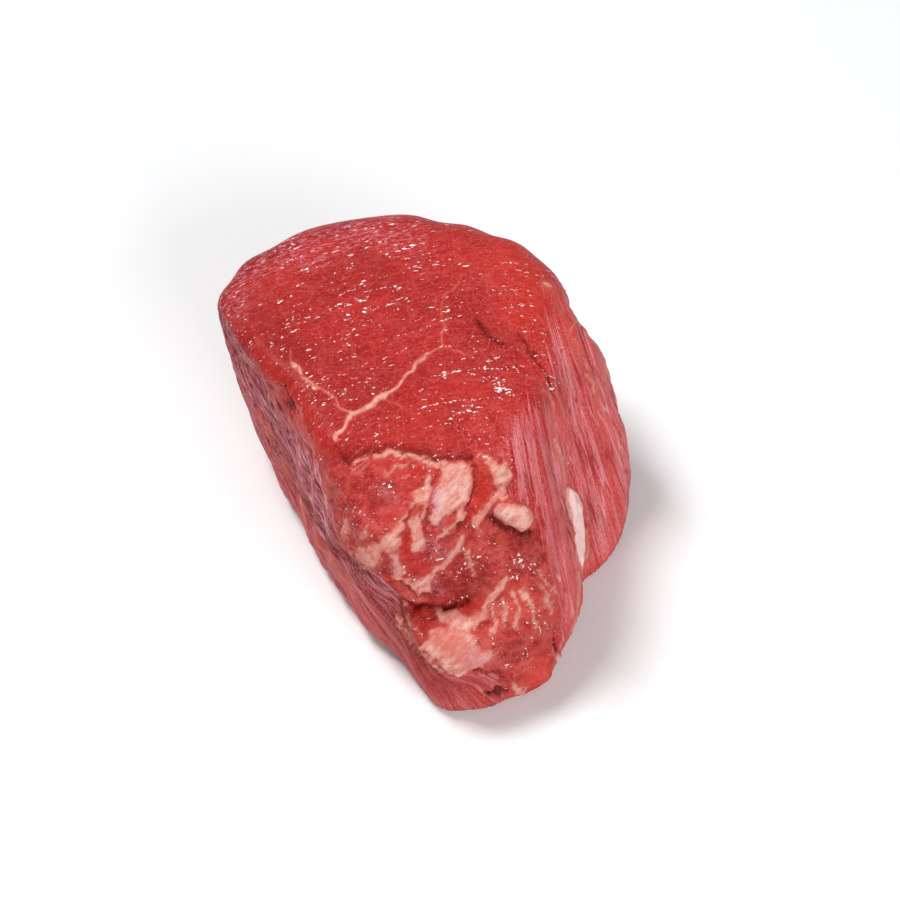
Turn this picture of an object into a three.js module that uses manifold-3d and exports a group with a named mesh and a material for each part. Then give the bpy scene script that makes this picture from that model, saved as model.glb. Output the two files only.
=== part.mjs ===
// A raw chateaubriand: one thick cut from the head of a beef fillet, standing on its lower cut face.
// Millimetres, +Z up. The origin is on the flat underside, and the front, where the fat shows, faces -Y.
import * as THREE from "three";
import { mergeVertices } from "three/addons/utils/BufferGeometryUtils.js";
import Module from "manifold-3d";

// The cut face on top: its height, how far its middle stands up, and its low swells
const FACE_HEIGHT = 74;
const FACE_MIDDLE = new THREE.Vector2(-8, 0);
const FACE_REACH = 48;
const FACE_CROWN = 1.6;
const FACE_SWELL = { height: 0.5, across: 9, back: 11 };

// The grain's axis, and the outlines of the main muscle round it, at the top and at the board
const GRAIN_AXIS = new THREE.Vector2(-4, -22);
const FACE_OUTLINE = [
  [-60.7, 8.5], [-56, 19.8], [-46.5, 29.2], [-32, 36.8], [-18, 41], [-2, 41.3], [11, 39], [24, 35],
  [34, 26.5], [39.5, 15], [40, 2], [37.5, -10], [35, -22], [32, -34], [30, -46], [26, -60], [17, -72],
  [4, -82], [-8, -74], [-18, -60], [-27.5, -45], [-38.5, -25], [-48.5, -12], [-56, -3],
];
const BASE_OUTLINE = [
  [-50, 8], [-43, 24], [-28, 33], [-8, 37], [14, 36], [30, 30], [39, 18], [42, 2], [43, -14], [44, -30],
  [45.5, -44], [45.2, -56], [42, -66], [36, -76], [27, -83], [16, -87], [6, -88.5], [0.5, -84],
  [-8, -72], [-18.8, -60], [-30.5, -42], [-40.3, -21], [-47, -4],
];
const OUTLINE_STEPS = 12;
const WALL_BELLY = 1.2;
const BOARD_TUCK = { depth: 3.2, height: 4.5 };

// How softly the top face rolls into the walls, from the crisp left edge to the round back and right
const RIM_CRISP = 5;
const RIM_SOFT = 17;
const RIM_SOFT_BEARING = THREE.MathUtils.degToRad(48);

// The sloping front cut, from the front of the face down to just above the board.
// Across is measured along X, and down is measured down the slope from the face.
const FRONT_TOP = new THREE.Vector3(0, -45, FACE_HEIGHT);
const FRONT_SLOPE = THREE.MathUtils.degToRad(57);
const FRONT_EDGE = 6;
const FRONT_LUMPS = [
  { across: -12, down: 23, bulge: 8.6, left: 34, right: 32, above: 25, below: 25 },
  { across: 10, down: 60, bulge: 5.6, left: 30, right: 34, above: 16, below: 16 },
];
const FRONT_HOLLOW = { across: 24, down: 33, depth: 1.6, radius: 12 };
const CREVICE = { down: 45.5, sag: 1.2, swing: 7, depth: 3.4, width: 2.8, left: -12, right: 8, fade: 9 };

// The side muscle, a lobe on the right, as balls joined along its length
const SIDE_LOBE = [
  { x: 37.3, y: -1, z: 55, r: 12 },
  { x: 41, y: -4, z: 31, r: 15 },
  { x: 45, y: -11, z: 5, r: 15.3 },
  { x: 41.5, y: -26.5, z: 3, r: 14.6 },
];
const LOBE_BLEND = 8;
const LOBE_SINK = 0.6;

// Furrows between the bundles of the grain, down the walls of the main muscle and of the lobe
const WALL_FURROWS = { count: 19, depth: 0.7, uneven: 1.7, lean: 70 };
const LOBE_FURROWS = { count: 7, depth: 0.6, uneven: 0.6, lean: 30 };
const FURROW_BUNCHES = 5;

// Creases pressed into the meat, each along a few points
const CREASES = [
  { depth: 1.5, width: 2.8, points: [[16, -3, 76], [23, -8, 75], [30, -15, 73], [35, -24, 66]] },
  { depth: 1.5, width: 3.2, points: [[-30, -44, 68], [-22, -45, 73], [-8, -44, 75], [12, -42, 74.5]] },
  { depth: 1.6, width: 3, points: [[-46, -8, 60], [-40, -18, 36], [-33, -32, 12]] },
  { depth: 1.8, width: 3, points: [[-20, 36, 62], [-14, 39, 36], [-16, 38, 10]] },
  { depth: 1.6, width: 2.8, points: [[22, 33, 66], [26, 34, 40], [22, 35, 14]] },
];

// Strands of fat on the front, each through points given across, down and out from the meat
const FAT_STRANDS = [
  { radius: 3, points: [[17.5, 13, 0], [21, 14.5, 2.4], [24.5, 16, 2.6], [27.5, 18.5, 1]] },
  { radius: 1.5, points: [[20, 3, -0.6], [18, 10, 0.6], [14, 15, 0.5], [12.6, 19.5, 0.3], [13.4, 23, -0.8]] },
  { radius: 1.5, points: [[-13, 34, -0.6], [-8, 38, 0.5], [-3, 41, 0.8], [1.5, 43, 0.2]] },
];
const STRAND_SIDES = 12;
const STRAND_RINGS = 16;

// The skins: an icosahedron's faces, drawn onto each muscle's form from a point inside it
const MAIN_HEART = new THREE.Vector3(-4, -22, 40);
const MAIN_STRETCH = new THREE.Vector3(1.25, 1.25, 0.9);
const MAIN_DETAIL = 19;
const LOBE_HEART = new THREE.Vector3(42, -9, 22);
const LOBE_STRETCH = new THREE.Vector3(1, 1.2, 1.4);
const LOBE_DETAIL = 11;
const SKIN_REACH = 120;
const SKIN_HALVINGS = 22;

// The board that the cut stands on, which trims the skins flat a little above their own undersides
const SKIN_UNDERSIDE = -1.5;
const BOARD_SIDE = 400;
const BOARD_THICKNESS = 40;

const MEAT_RED = 0xb8403c;

const wasm = await Module();
wasm.setup();

function smoothMax(a, b, softness) {
  const overlap = Math.max(softness - Math.abs(a - b), 0) / softness;
  return Math.max(a, b) + (overlap * overlap * softness) / 4;
}

function smoothMin(a, b, softness) {
  return -smoothMax(-a, -b, softness);
}

function hill(distance, width) {
  return Math.exp(-((distance / width) ** 2));
}

// A closed outline as a radius for each bearing round the grain's axis, on a smooth curve through the points
function radiusOf(outline) {
  const loop = outline.map(([x, y]) => new THREE.Vector3(x, y, 0));
  const curve = new THREE.CatmullRomCurve3(loop, true, "centripetal");
  const samples = curve.getPoints(outline.length * OUTLINE_STEPS).map((p) => {
    const arm = new THREE.Vector2(p.x, p.y).sub(GRAIN_AXIS);
    return { bearing: arm.angle(), radius: arm.length() };
  });
  samples.sort((a, b) => a.bearing - b.bearing);
  const turn = 2 * Math.PI;
  return (bearing) => {
    const turned = (bearing + turn) % turn;
    const high = Math.max(samples.findIndex((s) => s.bearing >= turned), 0);
    const low = (high + samples.length - 1) % samples.length;
    const span = (samples[high].bearing - samples[low].bearing + turn) % turn || 1;
    const share = ((turned - samples[low].bearing + turn) % turn) / span;
    return THREE.MathUtils.lerp(samples[low].radius, samples[high].radius, Math.min(share, 1));
  };
}

const faceRadius = radiusOf(FACE_OUTLINE);
const baseRadius = radiusOf(BASE_OUTLINE);

function furrows({ count, depth, uneven, lean }, bearing, z) {
  return depth * Math.sin(count * bearing + uneven * Math.sin(FURROW_BUNCHES * bearing) + z / lean);
}

function walls(p, bearing) {
  const rise = p.z / FACE_HEIGHT;
  const radius = THREE.MathUtils.lerp(baseRadius(bearing), faceRadius(bearing), rise);
  const belly = WALL_BELLY * Math.sin(Math.PI * THREE.MathUtils.clamp(rise, 0, 1));
  const tuck = BOARD_TUCK.depth * hill(Math.max(p.z, 0), BOARD_TUCK.height);
  const out = Math.hypot(p.x - GRAIN_AXIS.x, p.y - GRAIN_AXIS.y);
  return out - (radius + belly - tuck + furrows(WALL_FURROWS, bearing, p.z));
}

function topFace(p) {
  const away = Math.hypot(p.x - FACE_MIDDLE.x, p.y - FACE_MIDDLE.y) / FACE_REACH;
  const swell = FACE_SWELL.height * Math.sin(p.x / FACE_SWELL.across) * Math.cos(p.y / FACE_SWELL.back);
  return p.z - (FACE_HEIGHT + FACE_CROWN * (1 - away * away) + swell);
}

// How far the meat stands out of the front cut's plane: two round lumps, a hollow and the crevice
function frontRelief(across, down) {
  let relief = 0;
  for (const lump of FRONT_LUMPS) {
    const aside = (across - lump.across) / (across < lump.across ? lump.left : lump.right);
    const along = (down - lump.down) / (down < lump.down ? lump.above : lump.below);
    relief += lump.bulge * Math.max(1 - aside * aside - along * along, 0) ** 1.4;
  }
  const hollowAway = Math.hypot(across - FRONT_HOLLOW.across, down - FRONT_HOLLOW.down);
  relief -= FRONT_HOLLOW.depth * hill(hollowAway, FRONT_HOLLOW.radius);
  const opening = THREE.MathUtils.smoothstep(across, CREVICE.left - CREVICE.fade, CREVICE.left);
  const closing = THREE.MathUtils.smoothstep(across, CREVICE.right, CREVICE.right + CREVICE.fade);
  const line = CREVICE.down + CREVICE.sag * Math.cos(across / CREVICE.swing);
  return relief - CREVICE.depth * opening * (1 - closing) * hill(down - line, CREVICE.width);
}

const DOWN_THE_SLOPE = new THREE.Vector3(0, -Math.cos(FRONT_SLOPE), -Math.sin(FRONT_SLOPE));
const OUT_OF_THE_SLOPE = new THREE.Vector3(0, -Math.sin(FRONT_SLOPE), Math.cos(FRONT_SLOPE));

function frontCut(p) {
  const fromTop = p.clone().sub(FRONT_TOP);
  return fromTop.dot(OUT_OF_THE_SLOPE) - frontRelief(p.x, fromTop.dot(DOWN_THE_SLOPE));
}

function onFront([across, down, out]) {
  const p = FRONT_TOP.clone().addScaledVector(DOWN_THE_SLOPE, down);
  p.addScaledVector(OUT_OF_THE_SLOPE, frontRelief(across, down) + out);
  return p.setX(across);
}

function distanceToPath(p, points) {
  const at = new THREE.Vector3();
  let nearest = Infinity;
  for (let i = 1; i < points.length; i++) {
    const line = new THREE.Line3(new THREE.Vector3(...points[i - 1]), new THREE.Vector3(...points[i]));
    nearest = Math.min(nearest, line.closestPointToPoint(p, true, at).distanceTo(p));
  }
  return nearest;
}

// The forms of the two muscles: negative inside, zero at the skin
function mainMuscle(p) {
  const bearing = Math.atan2(p.y - GRAIN_AXIS.y, p.x - GRAIN_AXIS.x);
  const soft = 0.5 + 0.5 * Math.cos(bearing - RIM_SOFT_BEARING);
  const rim = THREE.MathUtils.lerp(RIM_CRISP, RIM_SOFT, soft * soft);
  let form = smoothMax(smoothMax(walls(p, bearing), topFace(p), rim), frontCut(p), FRONT_EDGE);
  for (const { depth, width, points } of CREASES) form += depth * hill(distanceToPath(p, points), width);
  return Math.max(form, SKIN_UNDERSIDE - p.z);
}

// The lobe is webbed to the main muscle, and its web dives just under the main muscle's skin
function sideMuscle(p) {
  let nearest = Infinity;
  for (let i = 1; i < SIDE_LOBE.length; i++) {
    const [a, b] = [SIDE_LOBE[i - 1], SIDE_LOBE[i]];
    const line = new THREE.Line3(new THREE.Vector3(a.x, a.y, a.z), new THREE.Vector3(b.x, b.y, b.z));
    const share = line.closestPointToPointParameter(p, true);
    const radius = THREE.MathUtils.lerp(a.r, b.r, share);
    nearest = Math.min(nearest, line.at(share, new THREE.Vector3()).distanceTo(p) - radius);
  }
  const bearing = Math.atan2(p.y - LOBE_HEART.y, p.x - LOBE_HEART.x);
  const lobe = nearest - furrows(LOBE_FURROWS, bearing, p.z);
  const webbed = smoothMin(lobe, mainMuscle(p) + LOBE_SINK, LOBE_BLEND);
  return Math.max(webbed, lobe - LOBE_BLEND, SKIN_UNDERSIDE - p.z);
}

// The point of a form's skin in one direction from its heart, found by halving
function skinPoint(form, heart, direction) {
  let [inside, outside] = [0, SKIN_REACH];
  for (let i = 0; i < SKIN_HALVINGS; i++) {
    const middle = (inside + outside) / 2;
    if (form(heart.clone().addScaledVector(direction, middle)) < 0) inside = middle;
    else outside = middle;
  }
  return heart.clone().addScaledVector(direction, inside);
}

function mergedPositions(geometry) {
  const bare = new THREE.BufferGeometry();
  bare.setAttribute("position", geometry.getAttribute("position"));
  if (geometry.index) bare.setIndex(geometry.index);
  return mergeVertices(bare, 1e-3);
}

function solidOf(geometry) {
  const merged = mergedPositions(geometry);
  return new wasm.Manifold(
    new wasm.Mesh({
      numProp: 3,
      vertProperties: merged.getAttribute("position").array,
      triVerts: new Uint32Array(merged.index.array),
    }),
  );
}

function geometryOf(solid) {
  const mesh = solid.getMesh();
  const geometry = new THREE.BufferGeometry();
  geometry.setAttribute("position", new THREE.BufferAttribute(mesh.vertProperties, 3));
  geometry.setIndex(new THREE.BufferAttribute(mesh.triVerts, 1));
  geometry.computeVertexNormals();
  return geometry;
}

function skin(form, heart, stretch, detail) {
  const geometry = mergedPositions(new THREE.IcosahedronGeometry(1, detail));
  const position = geometry.getAttribute("position");
  const direction = new THREE.Vector3();
  for (let i = 0; i < position.count; i++) {
    direction.fromBufferAttribute(position, i).multiply(stretch).normalize();
    const p = skinPoint(form, heart, direction);
    position.setXYZ(i, p.x, p.y, p.z);
  }
  return solidOf(geometry);
}

// A soft strand with round ends, made by drawing a ball out along a path
function strand({ radius, points }) {
  const curve = new THREE.CatmullRomCurve3(points.map(onFront));
  const frames = curve.computeFrenetFrames(STRAND_RINGS, false);
  const geometry = mergedPositions(new THREE.SphereGeometry(1, STRAND_SIDES, STRAND_RINGS));
  const position = geometry.getAttribute("position");
  const ball = new THREE.Vector3();
  for (let i = 0; i < position.count; i++) {
    ball.fromBufferAttribute(position, i);
    const share = THREE.MathUtils.clamp((ball.y + 1) / 2, 0, 1);
    const ring = Math.round(share * STRAND_RINGS);
    const thickness = radius * Math.max(1 - ball.y * ball.y, 0) ** 0.25;
    const around = Math.hypot(ball.x, ball.z) || 1;
    const p = curve.getPointAt(share);
    p.addScaledVector(frames.binormals[ring], (thickness * ball.x) / around);
    p.addScaledVector(frames.normals[ring], (thickness * ball.z) / around);
    position.setXYZ(i, p.x, p.y, p.z);
  }
  return solidOf(geometry);
}

function board() {
  const slab = new THREE.BoxGeometry(BOARD_SIDE, BOARD_SIDE, BOARD_THICKNESS);
  slab.translate(0, 0, -BOARD_THICKNESS / 2);
  return solidOf(slab);
}

let cut = skin(mainMuscle, MAIN_HEART, MAIN_STRETCH, MAIN_DETAIL);
cut = cut.add(skin(sideMuscle, LOBE_HEART, LOBE_STRETCH, LOBE_DETAIL));
for (const fat of FAT_STRANDS) cut = cut.add(strand(fat));
cut = cut.subtract(board());

const meatMaterial = new THREE.MeshStandardMaterial({ color: MEAT_RED, roughness: 0.4, metalness: 0 });
const chateaubriand = new THREE.Mesh(geometryOf(cut), meatMaterial);
chateaubriand.name = "chateaubriand";

const part = new THREE.Group();
part.add(chateaubriand);

export default part;
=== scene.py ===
# %% [markdown]
# # A raw chateaubriand
# This lesson dresses one cut of raw beef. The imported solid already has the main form: a smooth cut face on
# top, walls that follow the grain, a sloping fatty front with two lumps and a crevice, and a side muscle on
# the right. Here the same form gets its real surface: fibres, seams, fat, wet light and soft colour.
# Everything is in metres, in the frame of the solid, with +Z up.

# %% Load the frame
import math

import bpy
import numpy as np
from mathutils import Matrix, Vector, noise


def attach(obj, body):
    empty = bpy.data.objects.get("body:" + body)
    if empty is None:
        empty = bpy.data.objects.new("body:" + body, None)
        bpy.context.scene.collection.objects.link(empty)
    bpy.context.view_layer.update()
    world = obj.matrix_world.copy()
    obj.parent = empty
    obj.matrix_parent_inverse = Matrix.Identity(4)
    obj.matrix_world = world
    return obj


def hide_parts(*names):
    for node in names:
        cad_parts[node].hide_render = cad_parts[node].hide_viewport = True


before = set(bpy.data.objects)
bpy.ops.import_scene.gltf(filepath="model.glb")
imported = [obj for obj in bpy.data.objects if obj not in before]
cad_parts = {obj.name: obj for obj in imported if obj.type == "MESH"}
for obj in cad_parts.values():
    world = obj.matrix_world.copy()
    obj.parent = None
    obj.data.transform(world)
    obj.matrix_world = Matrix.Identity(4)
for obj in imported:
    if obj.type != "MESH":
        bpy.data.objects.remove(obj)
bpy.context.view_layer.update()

MM = 0.001
MEAT_NODE = "chateaubriand"

# %% [markdown]
# ## The camera
# The photo looks down at the cut at 58 degrees with a long lens, so its edges hardly converge.
# The same camera is described by a few numbers: how high it looks from, how far away it is, its lens, and the
# pixel at which the origin appears. A picture is 900 pixels wide and the sensor is 36 mm wide, which turns
# the lens into pixels. With those numbers any point can also be turned into the pixel where it shows.

# %% Camera
ELEVATION = math.radians(58)
DISTANCE = 1.0
LENS = 134
SENSOR = 36
PICTURE = 900
ORIGIN_PIXEL = (430, 460)
FOCAL_PIXELS = LENS / SENSOR * PICTURE

TO_RIGHT = Vector((1, 0, 0))
TO_TOP = Vector((0, math.sin(ELEVATION), math.cos(ELEVATION)))
TO_CAMERA = Vector((0, -math.cos(ELEVATION), math.sin(ELEVATION)))
aside = (ORIGIN_PIXEL[0] - PICTURE / 2) / FOCAL_PIXELS * DISTANCE
above = (PICTURE / 2 - ORIGIN_PIXEL[1]) / FOCAL_PIXELS * DISTANCE
AIM = -(TO_RIGHT * aside + TO_TOP * above)
EYE = AIM + TO_CAMERA * DISTANCE

bpy.ops.object.camera_add(location=EYE, rotation=(math.pi / 2 - ELEVATION, 0, 0))
camera = bpy.context.object
camera.data.lens = LENS
camera.data.sensor_width = SENSOR
bpy.context.scene.camera = camera
print("camera at", [round(c, 3) for c in EYE])


# %% Pixels of points
def pixels_of(points):
    """The pixel of the picture at which each point shows."""
    rays = points - np.array(EYE)
    away = -rays @ np.array(TO_CAMERA)
    across = PICTURE / 2 + FOCAL_PIXELS * (rays @ np.array(TO_RIGHT)) / away
    down = PICTURE / 2 - FOCAL_PIXELS * (rays @ np.array(TO_TOP)) / away
    return np.stack([across, down], axis=1)


print("the origin shows at pixel", pixels_of(np.zeros((1, 3))).round(1).tolist())

# %% [markdown]
# ## The floor and the light
# The cut stands on a plain white board and throws a soft shadow to its right and towards the front.
# So the main light is a panel almost overhead, a little to the left and behind, and a wide panel on the right
# fills the front. The wet meat gets its soft shine from both. The board is a plane, made rough, so that it
# shows the shadow and no reflection.


# %% Floor
def select_only(thing):
    bpy.ops.object.select_all(action="DESELECT")
    thing.select_set(True)
    bpy.context.view_layer.objects.active = thing


bpy.ops.object.select_all(action="DESELECT")
bpy.ops.mesh.primitive_plane_add(size=4)
floor = bpy.context.object
floor.name = "floor"
board_paint = bpy.data.materials.new("white_board")
board_paint.use_nodes = True
board_shader = board_paint.node_tree.nodes["Principled BSDF"]
board_shader.inputs["Base Color"].default_value = (0.95, 0.95, 0.95, 1)
board_shader.inputs["Roughness"].default_value = 0.9
board_shader.inputs["Specular IOR Level"].default_value = 0.1
floor.data.materials.append(board_paint)
print("floor is", floor.dimensions.x, "m across")


# %% Lights
def panel(name, place, size, power, target=(0, -0.01, 0.04)):
    """A square light panel that faces the meat."""
    facing = (Vector(target) - Vector(place)).to_track_quat("-Z", "Y").to_euler()
    bpy.ops.object.light_add(type="AREA", location=place, rotation=facing)
    light = bpy.context.object
    light.name = name
    light.data.size = size
    light.data.energy = power


panel("main_panel", (-0.42, 0.25, 1.08), 0.3, 10.6)
panel("front_panel", (0.62, -0.95, 0.8), 0.8, 10.5)

# Slightly blue, against the red that the meat throws on the board
WORLD_COLOUR = (0.88, 0.97, 1.0, 1)
WORLD_STRENGTH = 0.19
world = bpy.data.worlds.new("studio")
world.use_nodes = True
world.node_tree.nodes["Background"].inputs["Color"].default_value = WORLD_COLOUR
world.node_tree.nodes["Background"].inputs["Strength"].default_value = WORLD_STRENGTH
bpy.context.scene.world = world
bpy.context.scene.view_settings.view_transform = "Standard"

# %% [markdown]
# ## The body of the meat
# Meat is soft and has no facets. It could be sculpted by hand, but the form is already in the solid, so its
# mesh is copied, its loose triangles are joined, and Subdivision Surface rounds it. A voxel remesh then turns
# the fused lumps and strands into one even skin of small squares, and a light smooth takes out the steps.

# %% Copy and remesh
VOXEL = 1.18 * MM
SAME_POINT = 0.001 * MM


def modify(thing, kind, **settings):
    """Adds a modifier with these settings and applies it."""
    select_only(thing)
    bpy.ops.object.modifier_add(type=kind)
    modifier = thing.modifiers[-1]
    for name, value in settings.items():
        setattr(modifier, name, value)
    bpy.ops.object.modifier_apply(modifier=modifier.name)


meat = bpy.data.objects.new("meat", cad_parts[MEAT_NODE].data.copy())
bpy.context.scene.collection.objects.link(meat)
meat.data.materials.clear()
select_only(meat)
bpy.ops.mesh.customdata_custom_splitnormals_clear()
bpy.ops.object.mode_set(mode="EDIT")
bpy.ops.mesh.select_all(action="SELECT")
bpy.ops.mesh.remove_doubles(threshold=SAME_POINT)
bpy.ops.object.mode_set(mode="OBJECT")
modify(meat, "SUBSURF", levels=2, render_levels=2)
modify(meat, "REMESH", mode="VOXEL", voxel_size=VOXEL, use_smooth_shade=True)
modify(meat, "SMOOTH", factor=0.5, iterations=3)
print("meat has", len(meat.data.polygons), "squares")

# %% [markdown]
# ## Drawing on the meat
# Seams, fat and creases are drawn as lines and outlines in pixels of the picture, as a butcher would point
# at them. Each is then found on the skin: a point of the skin belongs to a line when its own pixel is near it
# and it faces the camera. Distances are in millimetres on the meat, at about 3.5 pixels to a millimetre.

# %% Distances to what is drawn
PIXELS_PER_MM = 3.5
# Keeps a division from meeting zero
TINY = 1e-9


def distance_to_path(places, path):
    """How far each place is from a path of straight runs, which may also be a single point."""
    nearest = np.full(len(places), np.inf)
    path = path if len(path) > 1 else path * 2
    for start, end in zip(np.array(path[:-1], float), np.array(path[1:], float)):
        run = end - start
        share = np.clip((places - start) @ run / max(run @ run, TINY), 0, 1)
        nearest = np.minimum(nearest, np.linalg.norm(places - start - share[:, None] * run, axis=1))
    return nearest


def distance_to_line(at, line):
    """How far each pixel is from a line, in millimetres."""
    return distance_to_path(at, line) / PIXELS_PER_MM


def depth_inside(at, outline):
    """How deep each pixel lies inside an outline, in millimetres, and below zero outside it."""
    closed = outline + outline[:1]
    within = np.zeros(len(at), bool)
    for (x0, y0), (x1, y1) in zip(closed[:-1], closed[1:]):
        crosses = (y0 > at[:, 1]) != (y1 > at[:, 1])
        if y1 != y0:
            within ^= crosses & (at[:, 0] < x0 + (at[:, 1] - y0) * (x1 - x0) / (y1 - y0))
    return np.where(within, 1, -1) * distance_to_line(at, closed)


def ramp(value, low, high):
    """A soft step from 0 at low to 1 at high."""
    share = np.clip((value - low) / (high - low), 0, 1)
    return share * share * (3 - 2 * share)


# %% [markdown]
# ## What is drawn
# The knife left two red surfaces, the cut face on top and the sloping front. One outline holds both, and what
# lies outside it is wall, where the grain shows. Then come the fat in the front, the seams in the face, and
# the creases. Each seam or strand of fat has a half width in millimetres, each crease a depth and a half
# width, and each raised lump its rise and the width of its edge. A knob has a pixel, a spread in pixels and a
# rise in millimetres.

# %% The cut surfaces
FRONT_RIGHT_EDGE = [
    (500, 455), (509, 463), (509, 482), (511, 500), (521, 503), (531, 506), (537, 521), (541, 536), (546, 552),
    (549, 570), (556, 590), (561, 610), (562, 640), (556, 662), (546, 682), (524, 697), (506, 700),
]
FRONT_LEFT_EDGE = [
    (497, 676), (478, 673), (450, 677), (441, 674), (428, 661), (416, 641), (408, 621), (402, 601), (394, 588),
    (380, 578), (364, 569), (351, 556), (343, 546), (337, 533), (332, 512), (323, 492), (320, 477),
]
CUT_OUTLINE = [
    (190, 300), (190, 190), (560, 190), (600, 240), (549, 285), (551, 310), (553, 340), (557, 365), (559, 392),
    (552, 404), (540, 408), (522, 409), (510, 420), (503, 440), *FRONT_RIGHT_EDGE, *FRONT_LEFT_EDGE,
    (316, 460), (309, 441), (305, 421), (299, 406), (290, 395), (284, 388), (275, 384), (263, 378), (256, 366),
    (247, 357), (238, 345), (230, 330), (222, 312),
]
FRONT_TOP_EDGE = [(326, 472), (352, 456), (380, 448), (440, 454), (476, 452)]
FRONT_OUTLINE = [*FRONT_TOP_EDGE, *FRONT_RIGHT_EDGE, *FRONT_LEFT_EDGE]

# %% Fat in the front
FAT_PATCHES = {
    "upper_patch": [
        (441, 468), (446, 465), (452, 462), (462, 461), (470, 464), (473, 471), (472, 480), (474, 489),
        (471, 498), (466, 505), (460, 509), (453, 512), (447, 515), (442, 521), (436, 527), (430, 524),
        (429, 517), (433, 508), (432, 499), (434, 489), (437, 483), (440, 476),
    ],
    "neck": [
        (428, 475), (432, 478), (433, 487), (431, 500), (430, 508), (427, 511), (422, 504), (417, 501),
        (414, 508), (408, 512), (407, 520), (402, 527), (399, 533), (402, 540), (400, 546), (392, 549),
        (384, 552), (380, 558), (376, 567), (369, 569), (362, 562), (351, 553), (358, 550), (366, 547),
        (377, 541), (388, 533), (394, 526), (402, 517), (408, 510), (411, 501), (416, 493), (421, 489),
        (423, 481),
    ],
    "inner_column": [
        (416, 513), (420, 516), (425, 510), (428, 508), (425, 519), (423, 530), (425, 539), (423, 548),
        (418, 549), (412, 552), (410, 544), (411, 534), (409, 526), (412, 518),
    ],
    "lower_lip": [
        (392, 575), (397, 571), (402, 569), (405, 573), (404, 578), (412, 579), (421, 578), (427, 573),
        (432, 579), (431, 592), (427, 594), (419, 592), (411, 588), (404, 583), (399, 578),
    ],
    "shoulder_fat": [
        (480, 455), (490, 456), (496, 459), (500, 464), (505, 460), (509, 466), (510, 478), (507, 483),
        (506, 490), (509, 500), (500, 501), (494, 506), (486, 514), (480, 522), (478, 530), (473, 527),
        (474, 519), (481, 509), (489, 502), (494, 494), (497, 485), (494, 475), (489, 466), (484, 460),
    ],
    "curl_tongue": [
        (494, 508), (502, 503), (513, 504), (524, 505), (531, 509), (534, 517), (531, 526), (526, 531),
        (518, 531), (509, 526), (500, 519), (493, 514),
    ],
    "lower_patch": [
        (434, 612), (440, 609), (450, 610), (457, 608), (457, 613), (463, 617), (470, 615), (478, 609),
        (484, 603), (489, 600), (489, 612), (487, 620), (478, 624), (474, 630), (475, 640), (481, 648),
        (490, 652), (496, 653), (490, 660), (481, 667), (472, 671), (463, 674), (458, 677), (452, 674),
        (446, 670), (440, 666), (433, 660), (425, 652), (420, 647), (424, 643), (430, 639), (431, 632),
        (440, 629), (450, 626), (447, 622), (437, 621),
    ],
    "side_strip": [
        (566, 486), (572, 488), (578, 493), (582, 502), (584, 515), (586, 530), (586, 550), (584, 564),
        (581, 580), (579, 572), (575, 554), (571, 535), (568, 512),
    ],
    "column_left": [(391, 550), (397, 549), (399, 557), (398, 565), (402, 570), (396, 571), (392, 568)],
}
FAT_LINES = [
    (0.5, [(354, 464), (360, 461), (367, 458)]),
    (0.95, [(376, 456), (388, 453), (400, 453), (412, 457), (424, 460), (436, 463), (447, 465)]),
    (0.35, [(383, 469), (387, 475), (391, 471), (398, 466), (406, 464)]),
    (0.75, [(461, 509), (459, 520), (453, 528), (444, 534), (436, 539)]),
    (0.95, [(462, 537), (459, 546), (451, 554), (445, 563), (436, 570), (428, 577)]),
    (0.5, [(466, 548), (470, 558), (474, 573)]),
    (0.95, [(507, 580), (500, 587), (493, 594), (487, 604)]),
    (0.65, [(513, 592), (518, 602), (519, 612), (517, 626)]),
    (0.7, [(522, 590), (528, 602), (532, 614), (535, 626)]),
    (0.6, [(503, 600), (505, 612), (503, 624)]),
    (0.5, [(540, 584), (546, 594), (551, 612)]),
    (0.6, [(494, 606), (495, 618), (491, 632)]),
    (0.35, [(540, 570), (547, 582), (557, 594)]),
    (1.0, [(345, 523), (345, 530), (346, 537)]),
    (0.5, [(367, 530), (364, 536)]),
    (0.9, [(513, 684), (518, 690), (524, 689)]),
    (0.8, [(555, 651), (555, 656)]),
    (0.6, [(396, 618), (405, 630), (412, 642), (419, 651), (430, 662), (440, 674)]),
    (0.25, [(403, 603), (406, 612), (411, 622), (420, 635)]),
]

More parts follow.
